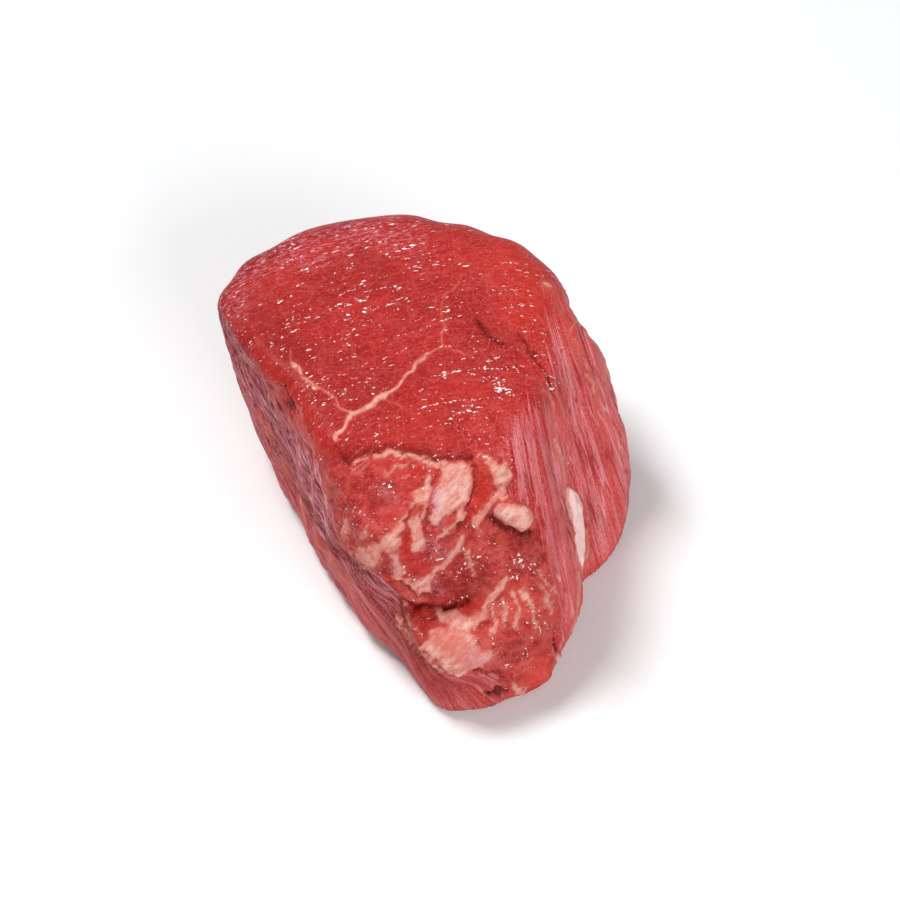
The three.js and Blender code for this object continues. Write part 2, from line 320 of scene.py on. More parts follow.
# %% Seams in the face, and pale streaks in the walls
FACE_SEAMS = [
    (0.14, [(460, 282), (452, 290), (443, 298), (441, 312), (444, 328)]),
    (0.3, [(444, 328), (441, 336), (445, 346), (437, 349), (428, 354)]),
    (0.6, [(428, 354), (420, 360), (412, 371), (398, 384), (384, 397)]),
    (0.85, [(386, 396), (378, 399), (372, 405), (360, 411), (351, 415)]),
    (0.85, [(350, 413), (346, 425), (341, 431), (334, 434), (336, 440)]),
    (0.5, [(292, 363), (294, 367), (301, 371), (304, 378), (313, 384), (316, 389)]),
    (0.2, [(290, 351), (292, 363)]),
    (0.3, [(316, 389), (323, 391), (333, 398), (338, 406), (348, 415)]),
    (0.12, [(384, 397), (392, 402), (402, 407)]),
    (0.12, [(445, 346), (456, 349), (466, 356)]),
]
PALE_STREAKS = [
    (0.6, [(541, 389), (549, 395), (554, 408)]),
    (1.0, [(545, 284), (550, 287)]),
    (0.5, [(577, 321), (571, 330), (567, 338)]),
    (0.3, [(567, 338), (572, 346), (580, 362), (587, 374)]),
    (0.8, [(588, 375), (593, 384), (594, 392)]),
    (0.3, [(594, 394), (599, 420), (606, 450)]),
    (0.8, [(556, 440), (561, 452), (564, 462)]),
    (0.35, [(553, 408), (556, 440)]),
    (0.5, [(564, 462), (566, 474), (567, 486)]),
    (0.4, [(255, 411), (261, 424)]),
    (0.4, [(281, 462), (290, 480), (297, 498), (304, 515)]),
    (0.3, [(308, 526), (318, 544), (330, 560), (341, 576), (351, 590)]),
    (0.5, [(291, 425), (291, 429)]),
    (0.7, [(579, 572), (580, 588), (580, 605), (577, 622), (570, 640), (561, 655)]),
    (0.8, [(588, 530), (590, 545), (586, 562)]),
    (0.3, [(597, 345), (607, 372), (616, 405), (622, 430)]),
    (0.25, [(590, 335), (602, 372), (610, 405)]),
    (0.2, [(604, 350), (616, 385), (624, 420), (628, 450)]),
    (0.3, [(550, 288), (558, 306), (568, 326)]),
]

# %% Creases
CREASES = [
    (1.2, 0.9, [(476, 318), (482, 326), (490, 334), (502, 341)]),
    (1.0, 0.6, [(519, 331), (526, 342), (534, 352), (541, 364), (548, 378), (556, 394)]),
    (0.9, 1.2, [
        (338, 456), (347, 463), (356, 457), (372, 452), (385, 447), (412, 452), (440, 458), (470, 459),
    ]),
    (0.7, 0.6, [(343, 505), (343, 516), (341, 528), (345, 540)]),
    (1.1, 0.6, [(400, 600), (412, 605), (428, 608), (442, 608), (458, 603)]),
    (0.5, 0.4, [(597, 411), (598, 434), (605, 453), (616, 484)]),
    (0.5, 0.4, [(587, 355), (613, 393), (623, 420)]),
    (0.5, 0.5, [(580, 407), (582, 445), (590, 476), (598, 515)]),
    (0.6, 0.5, [(509, 434), (514, 470), (528, 492), (536, 522), (545, 560)]),
    (0.6, 0.7, [(458, 603), (470, 598), (480, 596)]),
    (0.8, 0.5, [(399, 580), (405, 585), (413, 590), (422, 594), (431, 595)]),
    (0.7, 0.6, [(432, 594), (434, 588), (441, 587), (448, 588), (452, 592)]),
    (0.9, 0.7, [(475, 671), (487, 674), (498, 674), (509, 678)]),
    (0.7, 0.9, [
        (441, 678), (428, 665), (413, 644), (404, 625), (398, 603), (380, 584), (360, 572), (345, 556),
    ]),
    (0.8, 0.7, [(475, 468), (475, 488), (468, 506), (464, 518), (459, 530)]),
    (1.3, 1.0, [(491, 518), (500, 523), (509, 531), (520, 535), (530, 534)]),
    (0.6, 0.6, [(404, 552), (408, 540), (407, 526), (410, 515)]),
    (0.7, 0.7, [(428, 512), (428, 528), (427, 545), (430, 560)]),
    (0.6, 0.6, [(437, 541), (447, 540), (456, 533)]),
    (0.5, 0.6, [(433, 486), (436, 478), (438, 470)]),
    (1.6, 0.8, [(555, 640), (557, 647)]),
    (1.8, 0.9, [(488, 698), (496, 694), (501, 688)]),
    (0.4, 0.5, [(561, 488), (565, 512), (569, 540), (573, 570)]),
    (0.5, 0.5, [(586, 500), (589, 525), (594, 545)]),
    (0.9, 0.9, [(284, 387), (287, 398), (289, 412)]),
    (0.6, 0.9, [(255, 366), (258, 380), (264, 392)]),
    (0.6, 0.8, [(235, 342), (240, 360), (246, 378)]),
    (0.5, 0.6, [(305, 425), (309, 445), (316, 465)]),
    (0.6, 0.5, [(407, 622), (416, 632), (423, 637)]),
    (0.5, 0.5, [(503, 622), (512, 625), (516, 632)]),
]

# %% Raised lumps
RAISED = {
    "red_tongue": (1.0, 1.3, [
        (430, 593), (437, 588), (447, 587), (457, 592), (460, 600), (452, 605), (440, 607), (431, 604),
    ]),
    "second_lip": (0.5, 0.8, [
        (404, 587), (413, 592), (422, 596), (431, 597), (430, 603), (418, 602), (408, 598),
    ]),
    "red_flap": (0.9, 2.2, [
        (511, 664), (528, 650), (548, 646), (553, 662), (548, 682), (530, 692), (512, 690), (507, 677),
    ]),
    "fat_base": (0.7, 1.8, [
        (434, 612), (489, 600), (489, 620), (478, 630), (482, 648), (497, 653), (481, 667), (458, 677),
        (441, 667), (419, 648), (431, 632),
    ]),
    "red_corner": (0.7, 1.5, [
        (406, 606), (430, 610), (434, 620), (445, 623), (430, 630), (415, 630), (408, 618),
    ]),
    "seam_flank": (0.6, 1.5, [(458, 606), (472, 600), (486, 590), (484, 603), (474, 613), (462, 613)]),
}
SMOOTH_RAISED = {
    "side_bulge": (1.2, 2.0, FAT_PATCHES["side_strip"]),
    "curl_back": (0.9, 2.4, FAT_PATCHES["curl_tongue"]),
}
KNOBS = [(501, 683, 5, 0.9), (507, 690, 5, 1.0), (500, 694, 4, 0.7), (508, 680, 4, 0.8), (517, 688, 6, 0.8),
         (555, 654, 4, 0.9), (346, 533, 4, 0.6), (365, 533, 4, 0.4), (397, 573, 5, 0.5), (501, 470, 6, 0.6),
         (503, 492, 5, 0.4), (466, 551, 5, 0.7), (436, 521, 6, 0.4), (411, 504, 4, 0.4)]

# %% Soft colour
# Each spot is a strength, a spread in pixels and a line
SOFT_COLOUR = {}
SOFT_COLOUR["fresh"] = [
    (0.9, 9, [(408, 545), (408, 565), (425, 568)]), (0.8, 8, [(484, 468), (484, 490), (477, 505)]),
    (0.8, 9, [(415, 612), (428, 625), (448, 625)]), (0.9, 13, [(545, 652), (538, 675), (524, 686)]),
    (0.8, 8, [(462, 609), (478, 602), (488, 592)]), (0.9, 12, [(590, 580), (604, 568), (618, 550)]),
    (0.8, 8, [(340, 500), (338, 525), (350, 548)]),
    (0.9, 11, [(262, 370), (285, 396), (306, 428), (318, 455)]),
    (0.3, 22, [(400, 425), (440, 400), (470, 380)]), (0.7, 7, [(375, 462), (400, 460), (420, 467)]),
    (0.5, 16, [(355, 590), (390, 640), (425, 690), (480, 698)]),
    (0.6, 8, [(410, 470), (405, 490), (392, 515)]), (0.7, 4, [(437, 468), (435, 484)]),
    (0.7, 5, [(405, 520), (405, 545)]), (0.5, 14, [(515, 590), (545, 610)]),
    (0.7, 5, [(452, 518), (443, 527)]), (0.6, 4, [(455, 538), (446, 546)]), (0.6, 6, [(560, 400), (566, 440)]),
    (0.6, 30, [(520, 250), (535, 310)]), (0.6, 7, [(606, 420), (615, 470), (612, 540)]),
]
SOFT_COLOUR["blush"] = [
    (0.8, 6, [(420, 598), (410, 594)]), (0.6, 7, [(466, 640), (470, 655)]),
    (0.6, 10, [(495, 655), (480, 640)]),
    (0.5, 6, [(360, 556), (372, 556)]), (0.6, 5, [(488, 520), (495, 528)]),
    (0.45, 6, [(508, 600), (510, 622)]),
    (0.5, 6, [(526, 596), (536, 614)]), (0.5, 4, [(522, 638), (545, 634)]), (0.4, 6, [(545, 590), (552, 604)]),
    (0.45, 5, [(440, 618), (460, 620)]), (0.5, 7, [(478, 590), (500, 596)]),
    (0.45, 4, [(505, 505), (515, 500)]),
    (0.45, 6, [(435, 560), (446, 552), (450, 542)]), (0.5, 6, [(424, 640), (432, 645)]),
    (0.6, 5, [(280, 455), (270, 440), (262, 425)]), (0.5, 4, [(575, 340), (590, 380)]),
    (0.6, 5, [(588, 528), (589, 560)]), (0.5, 5, [(420, 530), (417, 545)]),
    (0.6, 4, [(281, 462), (290, 480), (297, 498), (304, 515)]), (0.5, 4, [(308, 526), (330, 560), (351, 590)]),
]
# Painted light: spots that are made lighter, mostly on the right walls and the front
SOFT_COLOUR["lit"] = [
    (0.4, 20, [(592, 370), (606, 430)]), (0.55, 20, [(610, 490), (602, 560)]),
    (0.4, 45, [(515, 265), (525, 320), (540, 345)]), (0.25, 30, [(490, 410), (480, 440)]),
    (0.6, 9, [(532, 378), (550, 398)]), (0.4, 6, [(573, 492), (579, 530), (581, 560)]),
    (0.5, 20, [(505, 595), (545, 612)]), (0.55, 19, [(490, 550), (530, 570)]),
    (0.45, 18, [(525, 660), (545, 670)]), (0.35, 24, [(360, 500), (385, 515)]),
    (0.25, 12, [(562, 560), (572, 620)]), (0.2, 14, [(455, 690), (490, 688)]),
    (0.5, 8, [(550, 400), (556, 440), (563, 480)]), (0.3, 10, [(310, 440), (330, 520)]),
]
# Mauve: painted violet sheen on the front fat and painted mauve reflection speckled on the rims of the cut
# face; on the right walls it also mottles the fibres
SOFT_COLOUR["mauve"] = [
    (0.9, 6, [(435, 492), (436, 508)]), (1.0, 5, [(434, 519), (438, 522)]), (0.8, 8, [(430, 545), (442, 552)]),
    (0.8, 5, [(434, 582), (438, 590)]), (0.7, 9, [(472, 655), (486, 660)]), (0.6, 5, [(394, 556), (396, 566)]),
    (0.7, 20, [(228, 300), (248, 268), (300, 246), (350, 232), (412, 232)]),
    (0.5, 10, [(285, 262), (330, 258)]),
    (0.7, 8, [(524, 425), (528, 450), (526, 480)]), (0.6, 8, [(300, 460), (312, 490), (325, 515)]),
    (0.7, 5, [(221, 315), (226, 340), (232, 356)]), (0.5, 7, [(383, 490), (395, 500)]),
    (0.6, 6, [(560, 350), (562, 380)]), (0.6, 7, [(604, 370), (620, 420), (626, 450)]),
]
SOFT_COLOUR["shade"] = [
    (1.0, 6, [(494, 520), (504, 526), (514, 533)]), (0.7, 12, [(470, 560), (480, 580), (462, 588)]),
    (0.5, 13, [(505, 545), (525, 545), (515, 570)]), (0.6, 7, [(334, 450), (342, 461), (352, 450)]),
    (0.7, 9, [(492, 327), (508, 336), (520, 345)]), (0.6, 6, [(405, 448), (435, 452), (465, 455)]),
    (0.5, 12, [(372, 485), (392, 500)]), (0.7, 30, [(240, 300), (260, 330), (290, 350)]),
    (0.9, 7, [(220, 302), (230, 282), (252, 262), (300, 240), (350, 224)]),
    (0.5, 4, [(410, 605), (450, 607)]), (0.6, 10, [(505, 650), (520, 645)]),
    (0.4, 12, [(445, 690), (480, 688)]), (0.9, 4, [(490, 698), (500, 692)]),
    (0.7, 4, [(420, 505), (422, 511)]),
    (0.6, 14, [(395, 625), (425, 690)]), (0.4, 7, [(556, 520), (556, 570)]),
    (0.6, 7, [(438, 578), (444, 582)]), (0.5, 16, [(360, 250), (390, 280)]),
]
# Spots where the painted glints crowd and turn round
SOFT_COLOUR["glint_spots"] = [
    (1.0, 5, [(462, 527), (468, 531)]), (1.0, 5, [(427, 469), (430, 475)]), (0.9, 4, [(379, 484), (384, 484)]),
    (1.0, 4, [(389, 485), (394, 492)]), (0.9, 7, [(430, 545), (440, 558)]), (1.0, 6, [(520, 556), (530, 568)]),
    (0.9, 5, [(520, 577), (512, 576)]), (1.0, 4, [(464, 549), (467, 552)]), (0.8, 8, [(480, 555), (470, 570)]),
    (0.8, 5, [(484, 535), (478, 534)]), (0.9, 5, [(494, 605), (502, 596)]),
    (0.35, 16, [(505, 600), (540, 620)]),
    (1.0, 6, [(487, 366), (500, 380), (505, 398)]), (1.0, 4, [(525, 333), (532, 334)]),
    (1.0, 4, [(545, 371), (550, 378), (556, 391)]), (0.9, 4, [(535, 355), (542, 354)]),
    (0.9, 4, [(332, 411), (336, 410)]), (0.9, 4, [(434, 456), (446, 457)]), (0.7, 4, [(350, 505), (358, 512)]),
    (0.8, 5, [(497, 485), (493, 499)]), (0.7, 3, [(620, 488), (622, 505), (619, 525)]),
    (0.5, 10, [(446, 306), (470, 308)]), (0.3, 26, [(300, 240), (360, 232), (410, 250)]),
    (0.4, 18, [(440, 370), (460, 390), (470, 420)]), (0.25, 26, [(300, 330), (360, 300), (420, 290)]),
    (0.6, 4, [(553, 450), (553, 456)]), (0.6, 12, [(446, 575), (475, 592)]),
    (0.5, 9, [(540, 655), (530, 640)]),
    (0.6, 5, [(448, 458), (460, 452)]), (0.6, 5, [(416, 585), (405, 573)]),
]
SOFT_COLOUR["thin"] = [
    (1.0, 15, [(445, 640), (472, 655)]), (0.6, 8, [(450, 618), (475, 612)]),
    (0.6, 12, [(355, 557), (385, 548)]), (0.8, 8, [(345, 522), (347, 538)]),
]
SOFT_COLOUR["rough"] = [
    (1.0, 18, [(505, 600), (545, 610), (530, 640)]), (0.8, 12, [(470, 565), (480, 545), (450, 580)]),
    (0.8, 10, [(480, 470), (482, 500)]), (0.7, 12, [(410, 610), (440, 600)]), (0.7, 14, [(530, 665)]),
    (0.6, 16, [(420, 545), (440, 540)]), (0.5, 18, [(350, 500), (380, 510)]),
]
print("drawn:", len(FAT_PATCHES), "patches of fat,", len(FAT_LINES) + len(FACE_SEAMS), "strands and seams,")
print(len(CREASES), "creases and", sum(len(spots) for spots in SOFT_COLOUR.values()), "spots of soft colour")

# %% [markdown]
# ## More squares where there is more to see
# The front, the walls that the camera sees and the seams hold the finest detail, so their squares are split
# in four, and the rims of the fat and the thinnest lines once more. The rest stays coarser, which keeps the
# whole piece under 200,000 triangles.

# %% Split the squares under the detail
# How squarely skin faces the camera runs from 0 on its outline to 1. Distances are in millimetres.
FRONT_MARGIN = 1.5
WALL_MARGIN = 1.0
WALL_SQUARENESS = 0.75
SPLIT_ONCE = {"squareness": 0.12, "line": 1.3}
SPLIT_TWICE = {"squareness": 0.2, "rim": 0.6, "crease": 0.4, "seam": 0.7}


def read_points(thing):
    points = np.empty(len(thing.data.vertices) * 3)
    thing.data.vertices.foreach_get("co", points)
    return points.reshape(-1, 3)


def read_normals(thing):
    normals = np.empty(len(thing.data.vertices) * 3)
    thing.data.vertices.foreach_get("normal", normals)
    return normals.reshape(-1, 3)


def refine(thing, wanted):
    """Splits every face that has all its corners among the wanted points."""
    select_only(thing)
    bpy.ops.object.mode_set(mode="EDIT")
    bpy.ops.mesh.select_mode(type="FACE")
    bpy.ops.mesh.select_all(action="DESELECT")
    bpy.ops.object.mode_set(mode="OBJECT")
    for face in thing.data.polygons:
        face.select = all(wanted[corner] for corner in face.vertices)
    bpy.ops.object.mode_set(mode="EDIT")
    bpy.ops.mesh.subdivide(number_cuts=1)
    bpy.ops.object.mode_set(mode="OBJECT")


def nearest_line(at, lines):
    """How far each pixel is from the nearest of these, each of which ends with its line."""
    return np.min([distance_to_line(at, line) for *_, line in lines], axis=0)


def view_of(thing):
    """The points of a piece, their pixels, and how squarely each faces the camera."""
    points = read_points(thing)
    return points, pixels_of(points), read_normals(thing) @ np.array(TO_CAMERA)


points, at, squareness = view_of(meat)
in_front = depth_inside(at, FRONT_OUTLINE) > -FRONT_MARGIN
walls_seen = (depth_inside(at, CUT_OUTLINE) < WALL_MARGIN) & (squareness < WALL_SQUARENESS)
near_lines = nearest_line(at, [*FACE_SEAMS, *CREASES]) < SPLIT_ONCE["line"]
refine(meat, (squareness > SPLIT_ONCE["squareness"]) & (in_front | walls_seen | near_lines))

points, at, squareness = view_of(meat)
fat_rims = [(outline + outline[:1],) for outline in FAT_PATCHES.values()]
front_rims = nearest_line(at, fat_rims) < SPLIT_TWICE["rim"]
front_rims &= depth_inside(at, FRONT_OUTLINE) > -FRONT_MARGIN
thin_lines = nearest_line(at, CREASES) < SPLIT_TWICE["crease"]
thin_lines |= nearest_line(at, FACE_SEAMS) < SPLIT_TWICE["seam"]
refine(meat, (squareness > SPLIT_TWICE["squareness"]) & (front_rims | thin_lines))
triangles = sum(len(face.vertices) - 2 for face in meat.data.polygons)
print("meat now has", triangles, "triangles")

# %% [markdown]
# ## The grain
# The fibres of a fillet run along its length. On the walls they run down and lean forwards, steeply on the
# right and at a low slant on the left. A few guide fibres say so: each gives the bearing from the middle of
# the muscle at which it passes each height. Between two guides the other fibres are spread evenly, and the
# place between the guides, wrapped into a circle, becomes the first two numbers of a point's grain. The third
# is how far along its fibre it lies. Noise that reads these numbers makes fibres that never end in a seam.
# In the picture the fibres of the right walls fan out from one place above it, so a second grain, the fan, is
# measured in the picture for them. The fibre ends of the cut face lie in bent rows, which are a third.

# %% Guide fibres
# The middle of the main muscle, in millimetres
GRAIN_MIDDLE = np.array([-2, -20])
# Millimetres from the guide before it, and the bearing in degrees at each height in millimetres
GUIDES = [
    (20, {76: 85, 0: 84}),
    (27, {76: 118, 40: 122, 20: 130, 8: 140, 0: 155}),
    (16, {76: 138, 40: 145, 20: 160, 8: 185, 0: 215}),
    (15, {76: 150, 40: 160, 25: 185, 15: 215, 8: 240, 0: 262}),
    (12, {76: 157, 54: 164, 48: 172, 37: 184, 34: 203, 32: 228, 29: 250, 22: 267, 11: 274, 0: 276}),
    (10, {76: 168, 64: 174, 52: 184, 47: 204, 42: 224, 36: 242, 31: 258, 24: 270, 14: 277, 0: 281}),
    (10, {76: 178, 70: 187, 64: 203, 53: 219, 46: 240, 38: 255, 31: 266, 20: 276, 14: 283, 0: 290}),
    (15, {76: 290, 30: 291, 14: 297, 0: 302}),
    (16, {76: 317, 53: 314, 11: 313, 0: 312}),
    (10, {76: 336, 50: 328, 30: 325, 0: 318}),
    (12, {76: 352, 59: 349, 46: 343, 27: 343, 0: 335}),
    (14, {76: 376, 57: 370, 41: 365, 26: 360, 14: 353, 0: 343}),
    (16, {76: 405, 40: 396, 0: 385}),
    (20, {76: 425, 0: 415}),
    (20, {76: 445, 0: 444}),
]
# How much a millimetre to the back counts along a fibre, beside a millimetre of height
FORWARD_LEAN = 0.8
# The pixel above the picture from which the fibres of the right walls spread, and their usual distance
FAN_CENTRE = np.array([408, -175])
FAN_RADIUS = 650
# How much of a point's nearness to the camera counts in the fan
FAN_DEPTH_SHARE = 0.06
# The place in front of the meat, in millimetres, round which the rows of the cut face bend
ROWS_CENTRE = np.array([30, -130])


def at_height(table, height):
    """Reads a table of values by height."""
    heights = sorted(table)
    return np.interp(height, heights, [table[h] for h in heights])


def guided_turn(bearing, height):
    """Where each point lies between the guide fibres, as a turn in radians, and the radius of that circle."""
    ways = np.cumsum([gap for gap, _ in GUIDES])
    ways = ways - ways[0]
    turns = ways / ways[-1] * 2 * math.pi
    lines = np.array([at_height(table, height) for _, table in GUIDES])
    bearing = (bearing - lines[0]) % 360 + lines[0]
    place = np.zeros(len(bearing))
    for low, high, turn, next_turn in zip(lines[:-1], lines[1:], turns[:-1], turns[1:]):
        between = (bearing >= low) & (bearing <= high)
        share = (bearing - low) / np.maximum(high - low, TINY)
        place = np.where(between, turn + share * (next_turn - turn), place)
    return place, ways[-1] / (2 * math.pi)


# %% Coordinates along the grain, in millimetres
# Soft steps of how squarely skin faces the camera, and the pixels across which the fan begins
FACING = (0.02, 0.16)
FAN_FACING = (0.15, 0.4)
FAN_EDGE = (498, 512)
# How far apart in the noise two seeds lie
SEED_GAP = 17.3

points, at, squareness = view_of(meat)
normals = read_normals(meat)
facing = ramp(squareness, *FACING)
x, y, height = (points / MM).T

arm = np.stack([x, y], axis=1) - GRAIN_MIDDLE
bearing = np.degrees(np.arctan2(arm[:, 1], arm[:, 0]))
turn, turn_radius = guided_turn(bearing, height)
along = -height - FORWARD_LEAN * y
grain = np.stack([np.cos(turn) * turn_radius, np.sin(turn) * turn_radius, along], axis=1)

fan_arm = at - FAN_CENTRE
fan_turn = np.arctan2(fan_arm[:, 0], fan_arm[:, 1])
fan_depth = points / MM @ np.array(TO_CAMERA) * FAN_DEPTH_SHARE
fan_along = np.linalg.norm(fan_arm, axis=1) / PIXELS_PER_MM
fan = np.stack([fan_turn * FAN_RADIUS / PIXELS_PER_MM, fan_depth, fan_along], axis=1)
on_right = ramp(at[:, 0], *FAN_EDGE) * ramp(squareness, *FAN_FACING)

row_arm = np.stack([x, y], axis=1) - ROWS_CENTRE
row_radius = np.linalg.norm(row_arm, axis=1)
rows = np.stack([np.arctan2(row_arm[:, 0], row_arm[:, 1]) * row_radius.mean(), row_radius, height], axis=1)


def noise_at(places, size, seed):
    """Smooth noise between -1 and 1, with features of this size along each axis."""
    scaled = places / np.array(size) + seed * SEED_GAP
    return np.array([noise.noise(Vector(place)) for place in scaled])


print("the guides' circle has a radius of", round(turn_radius, 1), "mm")
print("share of the skin on the right:", on_right.mean().round(2))

# %% [markdown]
# Nothing in meat has a ruled edge, so the pixels of the skin are pushed about a little by noise before fat
# and creases are looked up there. The fat of the front is torn along one slanting direction, and a stored
# place that is turned that way lets its streaks follow.

# %% Ragged pixels and slanting streaks
# Pixels of push, and the size of the noise in millimetres
RAGGED = ((4.5, 3.4), (2.4, 1.3))
STREAK_TURN = math.radians(222)

ragged = at.copy()
for seed, (push, size) in enumerate(RAGGED, start=20):
    ragged[:, 0] += push * noise_at(points / MM, (size,) * 3, seed)
    ragged[:, 1] += push * noise_at(points / MM, (size,) * 3, seed + 5)

seen_right = points / MM @ np.array(TO_RIGHT)
seen_up = points / MM @ np.array(TO_TOP)
streaks = np.stack([seen_right * math.cos(STREAK_TURN) + seen_up * math.sin(STREAK_TURN),
                    seen_up * math.cos(STREAK_TURN) - seen_right * math.sin(STREAK_TURN),
                    points / MM @ np.array(TO_CAMERA)], axis=1)
print("pixels pushed by up to", np.abs(ragged - at).max().round(1))

# %% [markdown]
# ## Which skin is what
# The outlines now become soft numbers on the skin, in millimetres. Zero is the edge of a wall or of fat, and
# the number grows with the distance past it, so that a material can make its edge crisp and ragged. Out of
# the camera's sight the walls are fibre too, the underside is a cut face, and strips of silver skin run up
# the back.

# %% Walls, fat and soft colour
BACK_STRIPS = [
    {"bearing": 100, "half_width": 1.7, "low": 2, "high": 72, "lean": 0.10},
    {"bearing": 154, "half_width": 1.0, "low": 20, "high": 66, "lean": -0.12},
    {"bearing": 47, "half_width": 1.2, "low": -6, "high": 52, "lean": 0.06},
    {"bearing": 70, "half_width": 0.6, "low": 24, "high": 70, "lean": 0.05},
]
# Millimetres that the strips wander, the size of the noise that leads them, and the share of a finer wander
WANDER = (2.5, 14)
FINE_WANDER = 0.25
# The walls' mean radius, and the height at which a strip crosses its own bearing, in millimetres
WALL_RADIUS = 50
STRIP_HEIGHT = 40
# The underside is the skin below this height that faces down at least this much
UNDERSIDE_HEIGHT = 3
FACING_DOWN = -0.5
# The numbers for wall and for fat stay between these, in millimetres
DEEPEST = 6
THINNEST = -3
THICKEST = 3.0
# The face turns into wall this much more slowly above the side muscle: right of x and above a height
SLOWING = 0.86
SLOW_X = (12, 22)
SLOW_HEIGHT = (44, 58)
# Out of sight, skin higher than this that also faces up still counts as the rolled edge of the face
ROLL_HEIGHT = 62
ROLL_GAIN = 0.9
ROLL_FACING_UP = (0.45, 0.8)
# The furrows of the grain come in between these numbers for wall
WALL_EDGE = (-0.3, 1.4)
# Soft steps of how squarely skin faces the camera
JUST_SEEN = (0.0, 0.06)
WELL_SEEN = (0.03, 0.2)
FACING_AWAY = (0.1, -0.1)

slow_turn = 1 - SLOWING * ramp(x, *SLOW_X) * ramp(height, *SLOW_HEIGHT)
rolled = (height - ROLL_HEIGHT) * ROLL_GAIN * ramp(normals[:, 2], *ROLL_FACING_UP)
just_seen = ramp(squareness, *JUST_SEEN)
wall = -depth_inside(at, CUT_OUTLINE) * just_seen * slow_turn + (DEEPEST - rolled) * (1 - just_seen)
underside = (normals[:, 2] < FACING_DOWN) & (height < UNDERSIDE_HEIGHT)
wall = np.clip(np.where(underside, -DEEPEST, wall), -DEEPEST, DEEPEST)
wall_share = ramp(wall, *WALL_EDGE)


def turned_from(middle):
    """How many degrees each point's bearing is from this one, at most half a turn either way."""
    return (bearing - middle + 180) % 360 - 180


def strip_depth(strip):
    """How deep each point lies inside a strip that runs up the walls and tapers to both ends."""
    middle = strip["bearing"] + math.degrees(strip["lean"]) * (height / STRIP_HEIGHT - 1)
    turned = np.abs(turned_from(middle) * math.radians(WALL_RADIUS) + strip_wander)
    share = (height - strip["low"]) / (strip["high"] - strip["low"])
    taper = np.sin(np.clip(share, 0, 1) * math.pi)
    return strip["half_width"] * taper - turned - (1 - facing_away)


def drawn_depth(pixels, seen, patches, lines):
    """How deep each point lies inside the nearest of these patches and lines, where it is seen."""
    depths = [depth_inside(pixels, outline) for outline in patches]
    depths += [half_width - distance_to_line(pixels, line) for half_width, line in lines]
    return np.max(depths, axis=0) * seen + THINNEST * (1 - seen)


def spread_of(spots):
    """How strongly these soft spots colour each point, from 0 to 1."""
    total = np.zeros(len(points))
    for strength, spread, line in spots:
        reach = spread / PIXELS_PER_MM
        total = np.maximum(total, strength * np.exp(-((distance_to_line(at, line) / reach) ** 2)))
    return total * facing


SMOOTH_FAT = ("curl_tongue", "upper_patch")
# Millimetres that torn fat reaches past its outline, because the tears eat into it
TORN_GROWTH = 0.3
FRONT_THICKEST = 2.0
# The share of the ragged push that smooth fat keeps, and the share that seams keep
CALMER = 0.35
SEAM_CALMER = 0.7
# The valley that holds the side strip, in millimetres, and how far up its banks the strip reaches
STRIP_VALLEY = [(39, -34, 42), (42, -32, 24), (44, -33, 19), (44, -44, 13)]
STRIP_REACH = 6
# The strip and the seams thicken this much faster than they get deep, and the streaks lose this much
STRIP_GAIN = 4
SEAM_GAIN = 2
STREAK_LOSS = 0.1
# The front begins softly across its outline, in millimetres
FRONT_EDGE = (-1.0, 1.0)
# The steep sides of the front stay fresh red and have no wet coat, or they would look hazy
FLANK_SQUARENESS = (0.55, 0.25)
FLANK_FRESH = 0.9

torn_fat = [outline for name, outline in FAT_PATCHES.items() if name not in (*SMOOTH_FAT, "side_strip")]
a_little_ragged = at + CALMER * (ragged - at)
seam_ragged = at + SEAM_CALMER * (ragged - at)
well_seen = ramp(squareness, *WELL_SEEN)
facing_away = ramp(squareness, *FACING_AWAY)
wander, wander_size = WANDER
strip_wander = wander * noise_at(points / MM, (wander_size,) * 3, seed=30)
strip_wander += FINE_WANDER * wander * noise_at(points / MM, (FINE_WANDER * wander_size,) * 3, seed=31)

smooth_fat = drawn_depth(a_little_ragged, well_seen, [FAT_PATCHES[name] for name in SMOOTH_FAT], [])
up_the_bank = distance_to_path(points / MM, STRIP_VALLEY) - STRIP_REACH
strip_fat = drawn_depth(a_little_ragged, just_seen, [FAT_PATCHES["side_strip"]], [])
strip_fat -= np.maximum(up_the_bank, 0)
front_fat = np.maximum(drawn_depth(ragged, well_seen, torn_fat, FAT_LINES) + TORN_GROWTH, smooth_fat)
seam_fat = drawn_depth(seam_ragged, well_seen, [], FACE_SEAMS)
streak_fat = drawn_depth(a_little_ragged, well_seen, [], PALE_STREAKS)
back_fat = np.max([strip_depth(strip) for strip in BACK_STRIPS], axis=0)
front_fat = np.minimum(front_fat, FRONT_THICKEST)
fat = [front_fat, STRIP_GAIN * strip_fat, SEAM_GAIN * seam_fat, streak_fat - STREAK_LOSS, back_fat]
fat = np.clip(np.max(fat, axis=0), THINNEST, THICKEST)
soft = {name: spread_of(spots) for name, spots in SOFT_COLOUR.items()}
in_front = ramp(depth_inside(at, FRONT_OUTLINE), *FRONT_EDGE) * facing
flank = in_front * ramp(squareness, *FLANK_SQUARENESS)
soft["fresh"] = np.maximum(soft["fresh"], FLANK_FRESH * flank)
print("wall share", wall_share.mean().round(2), "fat share", (fat > 0).mean().round(3))

# %% [markdown]
# ## Relief
# Each point of the skin is moved along its normal. Creases go in, fat stands out a little with round edges,
# the walls get furrows between bundles of fibres, and the front gets soft lumps of a few millimetres.
# The underside stays flat on the board.

# %% Move the skin
# Millimetres of rise, and the depths in the fat between which it comes
FAT_RISE = (0.5, -0.8, 1.5)
SEAM_RISE = (0.1, -0.3, 0.3)
STREAK_RISE = (0.175, -0.5, 0.8)
# A depth, and the size of a bundle of fibres across and along
FURROWS = ((0.8, 3.4, 40), (0.55, 1.7, 16))
RIGHT_FURROWS = ((0.45, 3.2, 160), (0.3, 1.5, 60))
FURROW_SHARPNESS = 3.0
